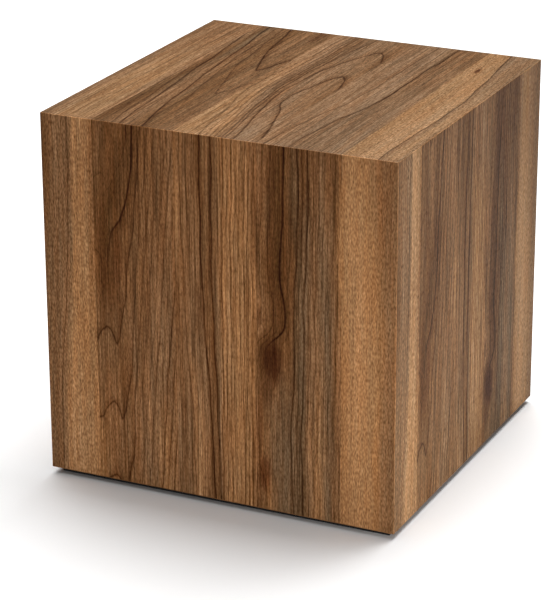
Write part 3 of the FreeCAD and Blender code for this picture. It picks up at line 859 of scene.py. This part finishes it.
def new_finish(title, base_colour=None, roughness=0.5):
    """A material with one Principled shader, its wiring and the shader's inputs."""
    material = bpy.data.materials.new(title)
    material.use_nodes = True
    tree = material.node_tree
    tree.nodes.clear()
    wiring = Wiring(tree)
    shader = wiring.node("BsdfPrincipled")
    output = wiring.node("OutputMaterial")
    tree.links.new(shader.outputs[0], output.inputs[0])
    shader.inputs["Roughness"].default_value = roughness
    if base_colour is not None:
        shader.inputs["Base Color"].default_value = (*base_colour, 1.0)
    print("finish:", title)
    return material, wiring, shader.inputs


print("node groups so far:", len(bpy.data.node_groups))


# %% [markdown]
# Ring lines: the count is turned into a distance from the nearest whole number, in millimetres. The line
# itself is thin and dark, and on one side the wood darkens gradually towards it, as late wood does in a
# real ring. A little noise on the count makes the lines waver and fray. Stronger lines are also thicker and
# shade the wood further. The ink's sign says on which side of the line the wood darkens. All sizes are in
# millimetres.

# %% Node group: ring lines
FRAY = 3.0  # how far the noise can push a line
HALF_LINE, HALF_LINE_INK = 0.7, 1.5  # half the width of a faint line, and what full ink adds
SHADE, SHADE_INK = 2.0, 9.0  # the same for the darker wood beside it
SHADE_POWER = 1.5
RING_SOCKETS = (("Count", "Float"), ("Ring Width", "Float"), ("Ink", "Float"), ("Spot", "Vector"))
w, given, result = new_group("Ring lines", RING_SOCKETS, (("Line", "Float"), ("Late Wood", "Float")))
fray = w.noise(w.stretch(given["Spot"], (260.0, 45.0, 1.0)), detail=3.0, roughness=0.6)
shift = w.math("DIVIDE", w.math("MULTIPLY", w.math("SUBTRACT", fray, 0.5), FRAY), given["Ring Width"])
count = w.math("ADD", given["Count"], shift)
offset = w.math("SUBTRACT", count, w.math("ROUND", count))
distance = w.math("MULTIPLY", offset, given["Ring Width"])
ink = w.math("ABSOLUTE", given["Ink"])
half_line = w.math("ADD", HALF_LINE, w.math("MULTIPLY", ink, HALF_LINE_INK))
line = w.fit(w.math("ABSOLUTE", distance), 0.0, half_line, 1.0, 0.0)
w.feed(result["Line"], w.math("MULTIPLY", line, ink))
distance = w.math("MULTIPLY", distance, w.math("SIGN", given["Ink"]))
before = w.math("LESS_THAN", distance, 0.0)
ink_reach = w.math("ADD", SHADE, w.math("MULTIPLY", ink, SHADE_INK))
reach = w.math("MINIMUM", w.math("MULTIPLY", given["Ring Width"], 0.5), ink_reach)
ramp = w.fit(distance, w.math("MULTIPLY", reach, -1.0), 0.0, 0.0, 1.0, smooth=False)
late = w.math("MULTIPLY", w.math("MULTIPLY", w.math("POWER", ramp, SHADE_POWER), before), ink)
w.feed(result["Late Wood"], late)
print("nodes in the ring lines:", len(w.tree.nodes))

# %% [markdown]
# Grain: layers of noise pulled out along the grain. Lines are long and clean, fibres a few millimetres
# long, curls short. Mottle fades the lines and brings out the curls. Pores are short dark dashes, and
# warmth is a broad, slow change between redder and greyer wood. Wood that is darker is also browner, so
# blue follows the light more strongly than red. Every walnut finish reads the grain, so it lives in one
# group.

# %% Node group: wood grain
LINE_SWING, CALM_LINE_SWING = 0.12, 0.5  # how far the lines swing the light, and what calm wood adds
FIBRE_SWING = 0.34
CURL_SWING, MOTTLED_CURL_SWING = 0.14, 0.28  # the same for the curls, and what mottled wood adds
STREAK_SWING = 0.14
MOTTLED_CONTRAST = 0.7  # what is left of the light's swing where the wood is all mottle
PORE_LIGHT = 0.75
LIGHT_POWERS = (1.0, 1.15, 1.35)  # for red, green and blue
GRAIN_RESULTS = (("Light", "Color"), ("Pores", "Float"), ("Warmth", "Float"), ("Relief", "Float"))
w, given, result = new_group("Wood grain", (("Spot", "Vector"), ("Mottle", "Float")), GRAIN_RESULTS)
lines = w.noise(w.stretch(given["Spot"], (430.0, 7.0, 1.0)), detail=1.0, roughness=0.6)
fibres = w.noise(w.stretch(given["Spot"], (720.0, 55.0, 1.0)), detail=1.0, roughness=0.6)
curls = w.noise(w.stretch(given["Spot"], (680.0, 230.0, 1.0)), detail=0.0)
streaks = w.noise(w.stretch(given["Spot"], (95.0, 4.0, 1.0)), detail=2.0)
dashes = w.noise(w.stretch(given["Spot"], (800.0, 150.0, 1.0)), detail=0.0)


def swing(noise, amount):
    """A multiplier round 1 that swings by the amount as the noise goes through its usual range."""
    return w.fit(noise, 0.25, 0.75, w.math("SUBTRACT", 1.0, amount), w.math("ADD", 1.0, amount), smooth=False)


calm = w.math("SUBTRACT", 1.0, given["Mottle"])
line_swing = w.math("ADD", LINE_SWING, w.math("MULTIPLY", calm, CALM_LINE_SWING))
light = w.math("MULTIPLY", swing(lines, line_swing), swing(fibres, FIBRE_SWING))
curl_swing = w.math("ADD", CURL_SWING, w.math("MULTIPLY", given["Mottle"], MOTTLED_CURL_SWING))
light = w.math("MULTIPLY", light, swing(curls, curl_swing))
light = w.math("MULTIPLY", light, swing(streaks, STREAK_SWING))
contrast = w.fit(given["Mottle"], 0.7, 1.0, 1.0, MOTTLED_CONTRAST)
light = w.math("ADD", 1.0, w.math("MULTIPLY", w.math("SUBTRACT", light, 1.0), contrast))
pores = w.fit(dashes, 0.58, 0.72)
light = w.math("MULTIPLY", light, w.fit(pores, 0.0, 1.0, 1.0, PORE_LIGHT, smooth=False))
spread = w.node("CombineColor")
for socket, power in zip(spread.inputs, LIGHT_POWERS):
    w.feed(socket, w.math("POWER", light, power))
w.feed(result["Light"], spread.outputs[0])
w.feed(result["Pores"], pores)
w.feed(result["Warmth"], w.noise(w.stretch(given["Spot"], (130.0, 9.0, 1.0)), detail=2.0, roughness=0.6))
w.feed(result["Relief"], w.math("SUBTRACT", w.math("MULTIPLY", fibres, 0.5), pores))
print("nodes in the wood grain:", len(w.tree.nodes))

# %% [markdown]
# The walnut print's finish: tint times grain, then late wood and ring lines, which darken red least and
# blue most so that the lines stay brown. The overlay on such a sheet is satin, and its pressed pores are
# the only relief. Along the eased edges the colour is multiplied lighter, so a pale line shows there.

# %% Finish: printed walnut
LINE_COLOUR = (0.27, 0.17, 0.08, 1.0)
LATE_COLOUR = (0.55, 0.44, 0.33, 1.0)
COOL_COLOUR = (0.95, 1.0, 1.05, 1.0)
WARM_COLOUR = (1.05, 0.99, 0.93, 1.0)
WHITE = (1.0, 1.0, 1.0, 1.0)
SATIN_SPECULAR = 0.02
PORE_DEPTH = 0.04 * MM
PORE_RELIEF, FIBRE_RELIEF = -0.6, 0.4  # the range that the grain's relief runs through


def darkened(w, colour, mask, darkest):
    """Multiplies a colour by a darker one as far as the mask says."""
    return w.mix("MULTIPLY", 1.0, colour, w.mix("MIX", mask, WHITE, darkest))


def grained(w, colour, grain):
    """Multiplies a colour by the grain's light and lets it drift between cool and warm."""
    drift = w.shades(grain["Warmth"], 0.3, 0.7, COOL_COLOUR, WARM_COLOUR)
    return w.mix("MULTIPLY", 1.0, w.mix("MULTIPLY", 1.0, colour, grain["Light"]), drift)


def satin(w, shader, grain, rough, smooth):
    """Gloss and relief of wood decor: rough in the pores, smoother on the fibres, and hardly any mirror."""
    gloss = w.fit(grain["Relief"], PORE_RELIEF, FIBRE_RELIEF, rough, smooth, smooth=False)
    w.feed(shader["Roughness"], gloss)
    shader["Specular IOR Level"].default_value = SATIN_SPECULAR
    w.feed(shader["Normal"], w.bump(grain["Relief"], PORE_DEPTH, 0.5))


def printed_walnut(title, roughness, easing_light):
    """The finish of a printed sheet; easing_light is how much paler the eased edge is."""
    material, w, shader = new_finish(title)
    spot = w.node("UVMap", uv_map="print").outputs[0]
    tint = w.node("Attribute", attribute_name="tint").outputs["Color"]
    count, width, ink, mottle, easing = (
        w.node("Attribute", attribute_name=name).outputs["Fac"]
        for name in ("ring", "ring_width", "ink", "mottle", "easing")
    )
    rings = use_group(w, "Ring lines", Count=count, Ring_Width=width, Ink=ink, Spot=spot)
    grain = use_group(w, "Wood grain", Spot=spot, Mottle=mottle)
    colour = grained(w, tint, grain)
    colour = darkened(w, colour, rings["Late Wood"], LATE_COLOUR)
    colour = darkened(w, colour, rings["Line"], LINE_COLOUR)
    edge_light = (easing_light, easing_light, easing_light, 1.0)
    colour = darkened(w, colour, w.fit(easing, 0.1, 0.9), edge_light)
    w.feed(shader["Base Color"], colour)
    satin(w, shader, grain, roughness + 0.1, roughness - 0.05)
    return material


outside_finish = printed_walnut("walnut_outside", 0.45, 2.2)
lining_finish = printed_walnut("walnut_lining", 0.5, 1.0)
for name, piece in sheets.items():
    piece.data.materials.append(outside_finish if name.endswith("_laminate") else lining_finish)

# %% [markdown]
# ## Finishes for the CAD pieces
# Edge bands carry the same print in a narrow strip with straight grain, so they need no leaves: the grain
# group reads their own places, turned so that its second number runs along the band.

# %% Finish: edge bands
def band_finish(title, along_axis):
    """Straight-grained walnut for a band that runs along one axis of the object."""
    material, w, shader = new_finish(title)
    place = w.node("SeparateXYZ")
    w.feed(place.inputs[0], w.node("TexCoord").outputs["Object"])
    axes = [axis for axis in "XYZ" if axis != along_axis]
    turned = w.node("CombineXYZ")
    w.feed(turned.inputs[0], w.math("ADD", place.outputs[axes[0]], place.outputs[axes[1]]))
    w.feed(turned.inputs[1], place.outputs[along_axis])
    grain = use_group(w, "Wood grain", Spot=turned.outputs[0], Mottle=0.3)
    dark, pale = (*TONES["umber"], 1.0), (*TONES["walnut"], 1.0)
    colour = w.shades(grain["Warmth"], 0.35, 0.65, dark, pale)
    w.feed(shader["Base Color"], grained(w, colour, grain))
    satin(w, shader, grain, 0.56, 0.42)
    return material


band_finishes = {axis: band_finish(f"walnut_band_{axis.lower()}", axis) for axis in "XYZ"}
BAND_AXIS = {
    "rear_band_top": "X", "rear_band_bottom": "X", "foot_band_front": "X", "foot_band_left": "Y",
    "foot_band_right": "Y", "rear_band_left": "Z", "rear_band_right": "Z",
}


def coat(node_name, material):
    """Gives a CAD node one material in place of its own."""
    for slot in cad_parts[node_name].material_slots:
        slot.material = material


for band, axis in BAND_AXIS.items():
    coat(band, band_finishes[axis])
print("edge bands:", len(BAND_AXIS))

# %% [markdown]
# The base strips are fibreboard under black lacquer: almost matt, with the board's short fibres just
# telegraphing through and a faint dust that greys it unevenly.

# %% Finish: black base
LACQUER = (0.004, 0.004, 0.004, 1)
DUSTY_LACQUER = (0.010, 0.010, 0.010, 1)
black_finish, w, shader = new_finish("black_base")
dust = w.speckle((60.0, 60.0, 60.0), detail=4.0, roughness=0.6)
lint = w.speckle((900.0, 900.0, 900.0), detail=3.0, roughness=0.6)
w.feed(shader["Base Color"], w.shades(dust, 0.35, 0.75, LACQUER, DUSTY_LACQUER))
w.feed(shader["Roughness"], w.fit(dust, 0.3, 0.7, 0.55, 0.7))
shader["Specular IOR Level"].default_value = 0.15
w.feed(shader["Normal"], w.bump(lint, 0.08 * MM, 0.6))
for side in ("front", "rear", "left", "right"):
    coat(f"base_strip_{side}", black_finish)

# %% [markdown]
# Under the sheets the boards are particle board: chips of pale wood in all directions, with dark specks of
# bark.

# %% Finish: particle board
DARK_CHIP = (0.30, 0.19, 0.10, 1)
PALE_CHIP = (0.58, 0.43, 0.27, 1)
BARK_SPECK = (0.10, 0.06, 0.035, 1)
board_finish, w, shader = new_finish("particle_board", roughness=0.85)
place = w.node("TexCoord").outputs["Object"]
chips = w.node("TexVoronoi", feature="F1")
w.feed(chips.inputs["Vector"], w.stretch(place, (420.0, 180.0, 420.0)))
chips.inputs["Scale"].default_value = 1.0
colour = w.shades(w.noise(chips.outputs["Position"], detail=0.0), 0.3, 0.7, DARK_CHIP, PALE_CHIP)
specks = w.speckle((700.0, 700.0, 700.0))
w.feed(shader["Base Color"], w.shades(specks, 0.66, 0.74, colour, BARK_SPECK))
w.feed(shader["Normal"], w.bump(chips.outputs["Distance"], 0.3 * MM, 0.5))
for node_name in ("top_core", "front_core", "left_core", "right_core", "bottom_core"):
    coat(node_name, board_finish)

# %% [markdown]
# Biscuits and dowels are pressed beech: even, pinkish, with short darker flecks.

# %% Finish: beech
DEEP_BEECH = (0.52, 0.33, 0.18, 1)
PALE_BEECH = (0.66, 0.46, 0.28, 1)
BEECH_FLECK = (0.33, 0.18, 0.09, 1)
beech_finish, w, shader = new_finish("beech", roughness=0.6)
fleck = w.speckle((400.0, 400.0, 400.0), detail=3.0, roughness=0.6)
colour = w.shades(w.speckle((70.0, 70.0, 70.0)), 0.3, 0.7, DEEP_BEECH, PALE_BEECH)
w.feed(shader["Base Color"], w.shades(fleck, 0.58, 0.7, colour, BEECH_FLECK))
w.feed(shader["Normal"], w.bump(fleck, 0.1 * MM, 0.4))
JOINERY = [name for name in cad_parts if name.endswith(("_biscuits", "_dowels"))]
for node_name in JOINERY:
    coat(node_name, beech_finish)
print("joinery nodes:", len(JOINERY))

# %% [markdown]
# The bottom's backer is brown paper soaked in resin: dull, with faint paper clouding.

# %% Finish: backer paper
DARK_PAPER = (0.055, 0.036, 0.024, 1)
PALE_PAPER = (0.09, 0.062, 0.042, 1)
PAPER_FIBRE = (0.12, 0.085, 0.06, 1)
backer_finish, w, shader = new_finish("backer_paper")
cloud = w.speckle((35.0, 35.0, 35.0), detail=5.0, roughness=0.6)
fibre = w.speckle((1200.0, 500.0, 900.0), detail=3.0)
colour = w.shades(cloud, 0.3, 0.7, DARK_PAPER, PALE_PAPER)
w.feed(shader["Base Color"], w.shades(fibre, 0.6, 0.75, colour, PAPER_FIBRE))
w.feed(shader["Roughness"], w.fit(cloud, 0.2, 0.8, 0.6, 0.75))
w.feed(shader["Normal"], w.bump(fibre, 0.05 * MM, 0.4))
coat("bottom_backer", backer_finish)

# %% [markdown]
# The screws are zinc plated steel: bright metal with the slight, fine clouding of plated hardware.

# %% Finish: zinc plate
DULL_ZINC = (0.50, 0.50, 0.48, 1)
BRIGHT_ZINC = (0.68, 0.69, 0.68, 1)
zinc_finish, w, shader = new_finish("zinc_plate")
shader["Metallic"].default_value = 1.0
cloud = w.speckle((600.0, 600.0, 600.0), detail=3.0)
w.feed(shader["Base Color"], w.shades(cloud, 0.3, 0.7, DULL_ZINC, BRIGHT_ZINC))
w.feed(shader["Roughness"], w.fit(cloud, 0.3, 0.7, 0.28, 0.42))
w.feed(shader["Normal"], w.bump(cloud, 0.02 * MM, 0.4))
coat("base_screws", zinc_finish)

# %% [markdown]
# The glides are dark wool felt: hairs in every direction, no shine at all.

# %% Finish: felt
DARK_HAIR = (0.018, 0.018, 0.019, 1)
PALE_HAIR = (0.075, 0.074, 0.072, 1)
felt_finish, w, shader = new_finish("felt", roughness=1.0)
hairs = w.speckle((2600.0, 2600.0, 900.0), detail=5.0, roughness=0.7)
w.feed(shader["Base Color"], w.shades(hairs, 0.35, 0.65, DARK_HAIR, PALE_HAIR))
w.feed(shader["Normal"], w.bump(hairs, 0.25 * MM, 0.8))
coat("felt_pads", felt_finish)

# %% [markdown]
# ## The studio
# A white floor runs far past the view. It is seen but isn't part of the cube.

# %% The floor
FLOOR_HALF = 12.0
corners = np.array([(-1, -1, 0), (1, -1, 0), (1, 1, 0), (-1, 1, 0)]) * FLOOR_HALF
floor = mesh_from("studio_floor", corners, np.array([[0, 1, 2, 3]]))
floor_finish, w, shader = new_finish("studio_floor", base_colour=(0.95, 0.95, 0.95), roughness=0.8)
floor.data.materials.append(floor_finish)
print("floor in m:", 2 * FLOOR_HALF, "square")

# %% [markdown]
# Soft boxes light the cube, as in a product studio. Three large ones hang to the left, the rear and the
# right: they make the floor white round the cube and leave only a soft shadow in front of it. A weaker one
# in front keeps that shadow from going grey. The upright faces are lit by a long low lamp far in front, and
# a very small one beside the right face lifts its lower edge.

# %% The lights
def lamp(name, place, target, width, depth, power):
    """A soft box of the given width and depth that faces the target."""
    light = bpy.data.lights.new(name, "AREA")
    light.shape = "RECTANGLE"
    light.size = width
    light.size_y = depth
    light.energy = power
    holder = bpy.data.objects.new(name, light)
    holder.location = place
    holder.rotation_euler = (Vector(target) - Vector(place)).to_track_quat("-Z", "Y").to_euler()
    bpy.context.scene.collection.objects.link(holder)


middle = (cad_low + cad_high) / 2
lamp("overhead_lamp_left", (-2.6, 1.6, 4.0), (-2.6, 1.59, 0.0), width=3.0, depth=4.0, power=150.0)
lamp("overhead_lamp_rear", (0.0, 3.2, 4.0), (0.0, 3.19, 0.0), width=5.0, depth=2.0, power=68.0)
lamp("overhead_lamp_right", (0.5, 1.0, 3.6), (0.5, 0.99, 0.0), width=2.0, depth=2.0, power=126.0)
lamp("overhead_lamp_front", (0.0, -1.5, 3.5), (0.0, -1.0, 0.0), width=3.0, depth=1.5, power=22.0)
lamp("low_lamp_front", (0.0, -3.0, 0.12), middle, width=2.4, depth=0.2, power=33.5)
lamp("low_lamp_right", (0.72, -0.36, 0.08), (0.225, -0.15, 0.1), width=0.3, depth=0.12, power=2.6)
print("lamps:", len(bpy.data.lights))

# %% [markdown]
# A faint white world fills what the lamps miss. The plain view transform shows colours as they were mixed;
# Blender's usual one would soften the whites and grey the browns.

# %% The world and the view
WORLD_STRENGTH = 0.1

world = bpy.data.worlds.new("studio_world")
world.use_nodes = True
world.node_tree.nodes["Background"].inputs["Color"].default_value = WHITE
world.node_tree.nodes["Background"].inputs["Strength"].default_value = WORLD_STRENGTH
bpy.context.scene.world = world
bpy.context.scene.view_settings.view_transform = "Standard"
print("world strength:", WORLD_STRENGTH)

# %% [markdown]
# The camera stands to the front right and looks down a little, from far enough that the upright edges lean
# only slightly. Its place is worked out from the angles, so it can be changed by changing one of them.

# %% The camera
AZIMUTH, ELEVATION, ROLL = np.radians([25.346, 20.973, -0.198])
DISTANCE = 3.3195
AIM = (-0.0225, -0.0433)  # how far the camera's axis passes beside the cube's middle, right and up
LENS = 162.93

level = np.cos(ELEVATION)
towards_camera = Vector((np.sin(AZIMUTH) * level, -np.cos(AZIMUTH) * level, np.sin(ELEVATION)))
level_right = Vector((np.cos(AZIMUTH), np.sin(AZIMUTH), 0.0))
level_up = towards_camera.cross(level_right)
right = level_right * np.cos(ROLL) + level_up * np.sin(ROLL)
upward = level_up * np.cos(ROLL) - level_right * np.sin(ROLL)
camera = bpy.data.objects.new("camera", bpy.data.cameras.new("camera"))
camera.data.lens = LENS
place = middle + towards_camera * DISTANCE + right * AIM[0] + upward * AIM[1]
turn = Matrix((right, upward, towards_camera)).transposed().to_4x4()
camera.matrix_world = Matrix.Translation(place) @ turn
bpy.context.scene.collection.objects.link(camera)
bpy.context.scene.camera = camera
print("camera at", [round(value, 3) for value in place])

# %% [markdown]
